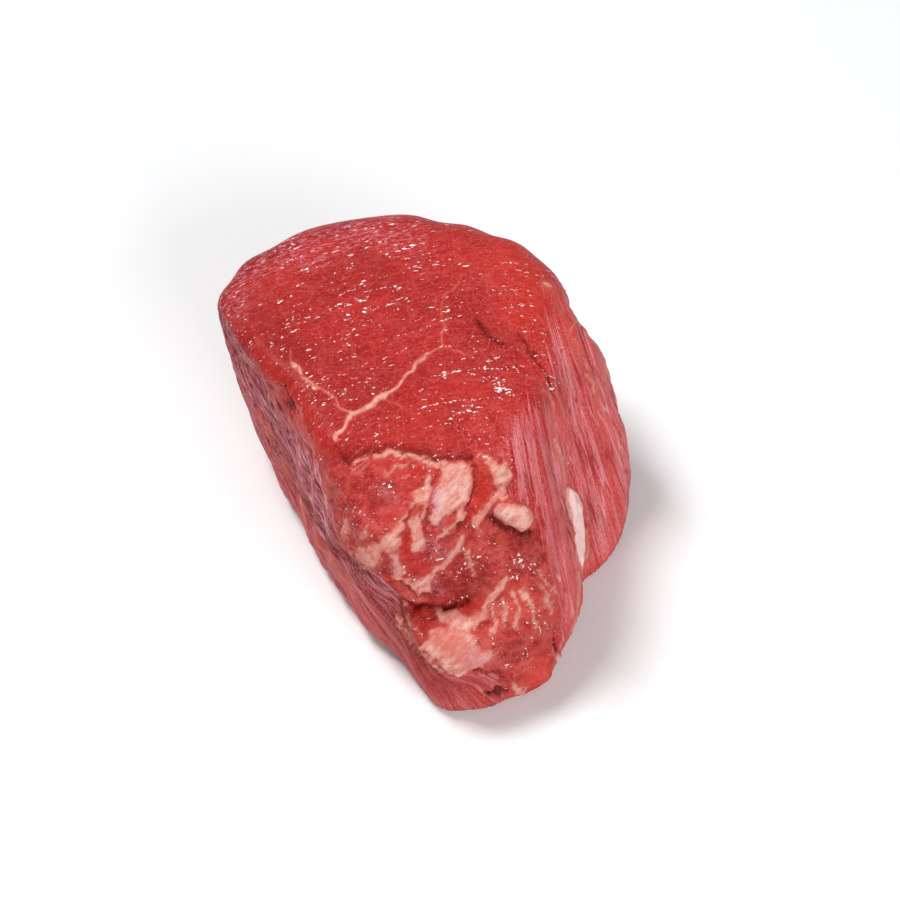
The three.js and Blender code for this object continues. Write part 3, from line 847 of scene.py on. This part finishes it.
# A rise and the size of its noise
FRONT_LUMPS = ((0.7, 6.5), (0.45, 2.6))
STREAK_RIDGES = (0.3, (9, 1.6, 5))
GRANULES = (0.3, 1.3)
FACE_SWELL = (0.1, (9, 2.4, 9))
# Lumps and ridges fade out on smooth fat, and fade by this share where other fat is thick
SMOOTH_FADE = (-0.6, 0.2)
THICK_FADE = (0.3, 1.3)
THICK_CALM = 0.6
# A raised lump begins this far outside its outline, in millimetres
RAISED_FROM = -0.6
# All relief fades out between these heights, so that the foot stays on the board
FOOT = (0.6, 3.5)


def risen(depth, rise, low, high):
    """A rise that comes softly between two depths."""
    return rise * ramp(depth, low, high)


rough_front = in_front * (1 - ramp(smooth_fat, *SMOOTH_FADE))
rough_front *= 1 - risen(front_fat, THICK_CALM, *THICK_FADE)
move = risen(np.maximum(front_fat, strip_fat), *FAT_RISE) + risen(seam_fat, *SEAM_RISE)
move += risen(np.maximum(streak_fat, back_fat), *STREAK_RISE)
hollow = np.zeros(len(points))
for depth, width, line in CREASES:
    crease = depth * np.exp(-((distance_to_line(ragged, line) / width) ** 2)) * facing
    hollow = np.maximum(hollow, crease)
move -= hollow
for pixels, lumps in ((ragged, RAISED), (at, SMOOTH_RAISED)):
    for rise, edge, outline in lumps.values():
        move += risen(depth_inside(pixels, outline), rise, RAISED_FROM, edge) * facing
ridge, ridge_size = STREAK_RIDGES
move += ridge * rough_front * noise_at(streaks, ridge_size, seed=13)
for knob_x, knob_y, spread, rise in KNOBS:
    away = distance_to_path(at, [(knob_x, knob_y)]) / spread
    move += rise * np.sqrt(np.clip(1 - away * away, 0, 1)) * facing
for place, share, furrows in ((grain, 1 - on_right, FURROWS), (fan, on_right, RIGHT_FURROWS)):
    for seed, (depth, across, length) in enumerate(furrows, start=3):
        fold = np.abs(noise_at(place, (across, across, length), seed))
        move -= depth * wall_share * share * np.clip(1 - fold * FURROW_SHARPNESS, 0, 1)
for seed, (rise, size) in enumerate(FRONT_LUMPS, start=7):
    move += rise * rough_front * noise_at(points / MM, (size,) * 3, seed)
granule, granule_size = GRANULES
move += granule * soft["rough"] * rough_front * noise_at(points / MM, (granule_size,) * 3, seed=10)
swell, swell_size = FACE_SWELL
move += swell * (1 - wall_share) * (1 - in_front) * noise_at(rows, swell_size, seed=11)
move *= ramp(height, *FOOT)
moved = points + normals * move[:, None] * MM
moved[:, 2] = np.maximum(moved[:, 2], 0)
meat.data.vertices.foreach_set("co", moved.ravel())
meat.data.update()
print("moved from", move.min().round(2), "to", move.max().round(2), "mm")


# %% Store the numbers on the skin
# Broken fibres are on the left: the bearing of their middle, how far they reach, and what is left of them low
# down. Some are mauve on the right too, and fat is thin on the hidden side.
MOTTLED_BEARING = 185
MOTTLED_REACH = (115, 75)
MOTTLED_HEIGHT = (8, 40)
MOTTLED_LOW = 0.35
MOTTLED_RIGHT = 0.7
HIDDEN_THIN = 0.8


def store(name, values):
    """Keeps one number, or three, for each point of the meat, for its material to read."""
    kind, key = ("FLOAT", "value") if values.ndim == 1 else ("FLOAT_VECTOR", "vector")
    layer = meat.data.attributes.new(name, kind, "POINT")
    layer.data.foreach_set(key, values.astype(np.float32).ravel())


mottled = ramp(np.abs(turned_from(MOTTLED_BEARING)), *MOTTLED_REACH)
mottled *= MOTTLED_LOW + (1 - MOTTLED_LOW) * ramp(height, *MOTTLED_HEIGHT)
mottled = np.maximum(mottled * (1 - on_right), MOTTLED_RIGHT * on_right * soft["mauve"])
soft["thin"] = np.maximum(soft["thin"], HIDDEN_THIN * facing_away)
soft["mauve"] = np.maximum(soft["mauve"], facing_away * wall_share)
numbers = {"wall": wall, "fat": fat, "hollow": hollow, "on_right": on_right, "mottled": mottled,
           "in_front": in_front, "flank": flank, "facing_away": facing_away, "grain": grain, "fan": fan,
           "rows": rows, "streaks": streaks, **soft}
for name, values in numbers.items():
    store(name, values)
print("stored", sorted(numbers))

# %% [markdown]
# ## The finish
# One material makes all of it, because meat has no joins between its colours. It reads the stored numbers in
# millimetres. First come the reds of the cut face, then the mauve fibres of the walls, then fat, and last the
# small white glints of wet fibre ends, which are painted into the colour. Small helpers keep the node code
# short.


# %% Helpers for nodes
class Nodes:
    """Makes and joins the nodes of one material."""

    def __init__(self, name):
        self.material = bpy.data.materials.new(name)
        self.material.use_nodes = True
        self.tree = self.material.node_tree
        self.shader = self.tree.nodes["Principled BSDF"]

    def add(self, kind, inputs=None, **settings):
        node = self.tree.nodes.new(kind)
        for name, value in settings.items():
            setattr(node, name, value)
        for name, value in (inputs or {}).items():
            self.feed(node.inputs[name], value)
        return node

    def feed(self, socket, value):
        if isinstance(value, bpy.types.NodeSocket):
            self.tree.links.new(value, socket)
        else:
            socket.default_value = value

    def number(self, name):
        return self.add("ShaderNodeAttribute", attribute_name=name).outputs["Fac"]

    def place(self, name, size):
        """A stored place, divided by the size in millimetres that a feature has along each axis."""
        where = self.add("ShaderNodeAttribute", attribute_name=name).outputs["Vector"]
        scale = tuple(1 / s for s in size)
        return self.add("ShaderNodeMapping", {"Vector": where, "Scale": scale}).outputs["Vector"]

    def noise(self, where, detail=2.0, roughness=0.5, distortion=0.0, scale=1.0):
        made = self.add("ShaderNodeTexNoise", {"Vector": where, "Scale": scale, "Detail": detail,
                                               "Roughness": roughness, "Distortion": distortion})
        return made.outputs["Fac"]

    def math(self, operation, a, b=0.0, c=0.0):
        return self.add("ShaderNodeMath", {0: a, 1: b, 2: c}, operation=operation).outputs[0]

    def times(self, a, b):
        return self.math("MULTIPLY", a, b)

    def blend(self, share, a, b):
        """A number between two others."""
        return self.add("ShaderNodeMix", {0: share, 2: a, 3: b}).outputs[0]

    def ridge(self, value):
        """How far noise is from its middle, so that its thin middle lines come out near zero."""
        return self.math("ABSOLUTE", self.math("SUBTRACT", value, 0.5))

    def step(self, value, low, high, to_low=0.0, to_high=1.0):
        made = self.add("ShaderNodeMapRange", {"Value": value, "From Min": low, "From Max": high,
                                               "To Min": to_low, "To Max": to_high},
                        interpolation_type="SMOOTHSTEP")
        return made.outputs["Result"]

    def mix(self, share, a, b, blend="MIX"):
        made = self.add("ShaderNodeMix", data_type="RGBA", blend_type=blend)
        for name, value in (("Factor_Float", share), ("A_Color", a), ("B_Color", b)):
            socket = next(s for s in made.inputs if s.identifier == name)
            self.feed(socket, value)
        return next(s for s in made.outputs if s.identifier == "Result_Color")

    def coats(self, colour, *coats):
        """Lays coats on a colour, each a value, where it begins and is full, a strength and a tint."""
        for value, low, high, most, tint in coats:
            colour = self.mix(self.step(value, low, high, 0, most), colour, tint)
        return colour


def paint(red, green, blue):
    """A screen colour, from 0 to 255, turned by the sRGB curve into the light that a shader takes."""
    shares = [channel / 255 for channel in (red, green, blue)]
    return tuple(((s + 0.055) / 1.055) ** 2.4 if s > 0.04045 else s / 12.92 for s in shares) + (1,)


print("mid red as light:", [round(c, 3) for c in paint(191, 60, 55)])

# %% The reds of the cut
FACE_RED = paint(188, 44, 41)
FACE_DEEP = paint(167, 34, 34)
FACE_LIGHT = paint(212, 84, 76)
FRESH_RED = paint(204, 46, 32)
SHADE_RED = paint(112, 14, 16)
BLUSH = paint(214, 102, 90)
# The pale mauve of a painted reflection
MAUVE_LIGHT = paint(214, 132, 146)

beef = Nodes("raw_beef")
object_place = beef.add("ShaderNodeTexCoord").outputs["Object"]
in_mm = {"Vector": object_place, "Scale": (1 / MM,) * 3}
body = beef.add("ShaderNodeMapping", in_mm).outputs["Vector"]

blotch = beef.noise(body, 3, scale=0.06)
cloudy = beef.noise(body, 2, 0.6, scale=0.32)
granular = beef.noise(body, 3, 0.65, scale=1.4)
threads = beef.noise(beef.place("rows", (3.4, 0.8, 3.4)), 3, 0.65, 0.8)
dashes = beef.noise(beef.place("rows", (1.2, 0.6, 1.2)), 2, 0.6, 0.6)
bundles = beef.add("ShaderNodeTexVoronoi", {"Vector": beef.place("rows", (5.0, 2.6, 9.0)), "Scale": 1.0},
                   feature="DISTANCE_TO_EDGE").outputs["Distance"]
front_share = beef.number("in_front")
red = beef.mix(beef.step(blotch, 0.35, 0.68), FACE_DEEP, FACE_RED)
red = beef.coats(red, (cloudy, 0.45, 0.7, 0.3, FACE_LIGHT))
red = beef.mix(beef.times(front_share, 0.15), red, FACE_LIGHT)
red = beef.coats(
    red,
    (bundles, 0.05, 0.0, 0.45, FACE_LIGHT),
    (granular, 0.5, 0.66, 0.4, FACE_LIGHT),
    (granular, 0.48, 0.34, 0.4, SHADE_RED),
)
red = beef.mix(beef.times(beef.step(cloudy, 0.5, 0.64, 0, 0.5), front_share), red, FACE_LIGHT)
red = beef.mix(beef.times(beef.step(cloudy, 0.47, 0.34, 0, 0.45), front_share), red, SHADE_RED)
red = beef.coats(red, (threads, 0.52, 0.75, 0.35, FACE_LIGHT), (threads, 0.46, 0.26, 0.35, SHADE_RED))
red = beef.mix(beef.times(beef.number("fresh"), 0.6), red, FRESH_RED)
red = beef.mix(beef.times(beef.number("shade"), 0.4), red, SHADE_RED)
# Painted mauve reflection: pale speckle where the mauve number is high, mostly along the back rim of the face
red = beef.mix(beef.times(beef.number("mauve"), beef.step(dashes, 0.48, 0.62)), red, MAUVE_LIGHT)
print("reds done")

# %% [markdown]
# The walls show fibres from the side. On the right they are long smooth bands with thin dark and pale lines
# between them. On the left they are broken into short glossy mauve strands over dark gaps, and the tops of the
# strands get painted highlights. Both are noise that is stretched along the grain, and they are made twice:
# once along the guide fibres, and once along the fan of the right walls.

# %% The fibres of the walls
BAND_RED = paint(206, 62, 60)
BAND_PINK = paint(215, 102, 104)
LINE_DARK = paint(150, 30, 34)
LINE_PALE = paint(238, 162, 168)
STRAND_MAUVE = paint(204, 110, 116)
# Painted highlight on the tops of the broken strands
STRAND_HIGHLIGHT = paint(232, 170, 176)
GAP_DARK = paint(124, 26, 31)
# How much lighter each channel is made where painted light falls, on the stored lit spots
LIT_GAIN = (1.4, 2.1, 2.1, 1)


def wall_fibres(place_name):
    """The colour of the fibres that follow one stored grain, and the noise of their short strands."""
    bands = beef.noise(beef.place(place_name, (2.6, 2.6, 90)), 2, 0.5)
    lines = beef.noise(beef.place(place_name, (2.2, 2.2, 90)), 1)
    pale = beef.noise(beef.place(place_name, (2.7, 2.7, 60)), 1)
    fine = beef.noise(beef.place(place_name, (0.4, 0.4, 25)), 2, 0.6)
    strands = beef.noise(beef.place(place_name, (0.75, 0.75, 5)), 2, 0.6, 0.3)
    smooth_look = beef.coats(
        beef.mix(beef.step(bands, 0.4, 0.62), BAND_RED, BAND_PINK),
        (fine, 0.5, 0.7, 0.4, LINE_PALE),
        (fine, 0.48, 0.3, 0.5, LINE_DARK),
        (granular, 0.5, 0.66, 0.25, LINE_PALE),
        (granular, 0.47, 0.34, 0.4, LINE_DARK),
        (beef.ridge(lines), 0.03, 0.0, 0.75, LINE_DARK),
    )
    pale_line = beef.step(beef.ridge(pale), 0.022, 0.0, 0, 0.6)
    smooth_look = beef.mix(beef.times(pale_line, beef.step(bands, 0.38, 0.5)), smooth_look, LINE_PALE)
    broken_look = beef.coats(
        beef.mix(beef.step(strands, 0.34, 0.52), GAP_DARK, STRAND_MAUVE),
        (strands, 0.55, 0.68, 0.8, STRAND_HIGHLIGHT),
        (fine, 0.5, 0.3, 0.5, GAP_DARK),
        (beef.ridge(lines), 0.05, 0.01, 0.7, GAP_DARK),
    )
    mottled = beef.number("mottled")
    return beef.mix(mottled, smooth_look, broken_look), beef.blend(mottled, fine, strands)


main_walls, main_strands = wall_fibres("grain")
right_walls, right_strands = wall_fibres("fan")
on_right = beef.number("on_right")
walls = beef.mix(on_right, main_walls, right_walls)
strands = beef.blend(on_right, main_strands, right_strands)
walls = beef.mix(beef.times(beef.number("fresh"), 0.7), walls, FRESH_RED)
walls = beef.mix(beef.times(beef.number("shade"), 0.5), walls, SHADE_RED)

teeth = beef.math("MULTIPLY_ADD", strands, 3.0, -1.5)
edge = beef.math("ADD", teeth, beef.number("wall"))
on_wall = beef.step(edge, -0.3, 0.5)
colour = beef.mix(on_wall, red, walls)
# Painted light: the lit spots lighten the colour
colour = beef.mix(beef.number("lit"), colour, LIT_GAIN, blend="MULTIPLY")
print("walls done")

# %% [markdown]
# Fat lies in the red like thin cloth. Where it thins out, the red shows through it as salmon, and where it is
# thick it is cream. Its streaks follow the slanting direction, and red shows through small tears. Some of it
# gets a painted violet sheen, and the hidden walls and their silver skin get the same violet tint. Creases are
# wet, and painted shade makes them dark.

# %% Fat, sheen and creases
FAT_CREAM = paint(226, 156, 142)
FAT_WHITE = paint(238, 188, 176)
FAT_BRIGHT = paint(255, 214, 210)
FAT_PINK = paint(214, 114, 100)
FAT_SALMON = paint(202, 78, 68)
SHEEN = paint(214, 158, 176)
CREASE_SHADE = paint(104, 14, 15)

streaky = beef.noise(beef.place("streaks", (6.0, 0.9, 2.2)), 3, 0.6, 0.4)
creamy = beef.noise(beef.place("streaks", (3.2, 1.3, 2.2)), 3, 0.6)
specks = beef.noise(body, 2, 0.6, scale=1.5)
torn = beef.noise(body, 3, 0.6, scale=0.7)
colour = beef.mix(beef.times(beef.number("blush"), beef.step(streaky, 0.32, 0.6)), colour, BLUSH)
tear = beef.math("MULTIPLY_ADD", torn, 1.3, -0.65)
tear = beef.math("MULTIPLY_ADD", beef.math("SUBTRACT", streaky, 0.5), 1.8, tear)
fat = beef.math("MULTIPLY_ADD", tear, beef.step(front_share, 0, 1, 0.3, 1), beef.number("fat"))
colour = beef.coats(colour, (fat, -1.0, 0.0, 0.6, FAT_SALMON), (fat, -0.2, 0.4, 0.85, FAT_PINK))
thick = beef.times(beef.step(fat, 0.1, 0.9), beef.step(creamy, 0.36, 0.55, 0.25, 1.0))
thick = beef.times(thick, beef.step(beef.number("thin"), 0, 1, 1, 0.2))
colour = beef.mix(thick, colour, FAT_CREAM)
thick = beef.times(thick, beef.step(fat, 0.9, 2.2))
thick = beef.times(thick, beef.step(creamy, 0.48, 0.66, 0.2, 0.9))
colour = beef.mix(thick, colour, FAT_WHITE)
colour = beef.coats(colour, (fat, 2.2, 2.9, 0.95, FAT_BRIGHT))
red_tears = beef.times(beef.step(specks, 0.56, 0.7, 0, 0.7), beef.step(fat, 2.2, 0.5, 0.3, 1.0))
colour = beef.mix(beef.times(red_tears, beef.step(fat, 0.0, 0.3)), colour, FAT_SALMON)
# Painted violet sheen on the front fat; the hidden walls and their silver skin get the same violet tint
sheen = beef.times(beef.number("mauve"), beef.step(fat, -0.6, 0.6, 0.15, 0.6))
sheen = beef.times(sheen, beef.step(torn, 0.38, 0.58, 0.2, 1.0))
sheen = beef.times(sheen, beef.math("MAXIMUM", front_share, beef.number("facing_away")))
colour = beef.mix(sheen, colour, SHEEN)
# Painted shade in the creases, as strong as the stored hollow is deep
colour = beef.coats(colour, (beef.number("hollow"), 0.35, 1.0, 0.75, CREASE_SHADE))
print("fat done")

# %% [markdown]
# Wet fibre ends catch the light as small glints. Here they are painted into the colour as white dashes with a
# painted dark rim. They lie in rows on the cut face, and on the front they are round and gather in clusters.
# They are the peaks of fine noise that is stretched along the rows, and stored numbers and long strings of
# coarser noise say where they crowd.

# %% Glints
GLINT_WHITE = paint(255, 240, 238)
GLINT_PINK = paint(226, 128, 126)

patchy = beef.noise(body, 2, scale=0.11)
strings = beef.noise(beef.place("rows", (15.0, 3.0, 15.0)), 1, 0.5, 0.4)
glint_spots = beef.number("glint_spots")
dots = beef.noise(body, 2, 0.6, 0.4, scale=1.0)
crowd = beef.step(beef.ridge(strings), 0.045, 0.01, -0.06, 0.065)
crowd = beef.math("ADD", crowd, beef.step(patchy, 0.38, 0.62, -0.02, 0.02))
crowd = beef.math("ADD", crowd, beef.step(front_share, 0.0, 1.0, 0.0, -0.02))
crowd = beef.math("MULTIPLY_ADD", glint_spots, 0.13, crowd)
crowd = beef.math("ADD", crowd, beef.step(beef.number("wall"), -0.5, 1.5, 0, -0.09))
roundness = beef.math("MAXIMUM", front_share, beef.step(glint_spots, 0.5, 0.8))
flecks = beef.math("ADD", beef.blend(roundness, dashes, dots), crowd)
off_fat = beef.step(fat, 0.2, -0.3)
# Painted highlights: faint pink glints along the rows, off the fat
colour = beef.mix(beef.times(beef.step(dashes, 0.62, 0.72, 0, 0.6), off_fat), colour, GLINT_PINK)
# Each painted glint gets a painted dark rim, then a pink edge, then its white core
colour = beef.coats(colour, (flecks, 0.62, 0.67, 0.7, SHADE_RED), (flecks, 0.67, 0.69, 0.8, GLINT_PINK))
white = beef.step(flecks, 0.695, 0.715)
colour = beef.mix(white, colour, GLINT_WHITE)
print("glints done")

# %% Join the shader
BUMP_HEIGHT = 0.6 * MM

face_bump = beef.math("MULTIPLY_ADD", threads, 0.6, beef.times(granular, 0.7))
bump = beef.blend(on_wall, face_bump, strands)
bump = beef.times(bump, beef.step(fat, 0.0, 0.8, 1.0, 0.2))
relief = beef.add("ShaderNodeBump", {"Height": bump, "Strength": 0.8, "Distance": BUMP_HEIGHT})
dull = beef.step(granular, 0.35, 0.7, 0.4, 0.55)
front_coat = beef.step(front_share, 0, 1, 0.02, 0.09)
off_flank = beef.step(beef.number("flank"), 0, 1, 1, 0)
finish = {
    "Base Color": colour,
    "Roughness": beef.math("MULTIPLY_ADD", white, -0.25, dull),
    "Normal": relief.outputs["Normal"],
    "IOR": 1.36,
    "Specular IOR Level": 0.16,
    "Subsurface Weight": 0.06,
    "Subsurface Radius": (1.0, 0.3, 0.2),
    "Subsurface Scale": 1.0 * MM,
    "Coat Weight": beef.times(front_coat, off_flank),
    "Coat Roughness": 0.16,
}
for name, value in finish.items():
    beef.feed(beef.shader.inputs[name], value)
meat.data.materials.append(beef.material)
print("material", beef.material.name, "has", len(beef.tree.nodes), "nodes")

# %% [markdown]
# ## The piece on its body
# The piece stands for the solid and rides on its only body.

# %% Join the frame
select_only(meat)
bpy.ops.object.shade_smooth()
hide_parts(MEAT_NODE)
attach(meat, "root")
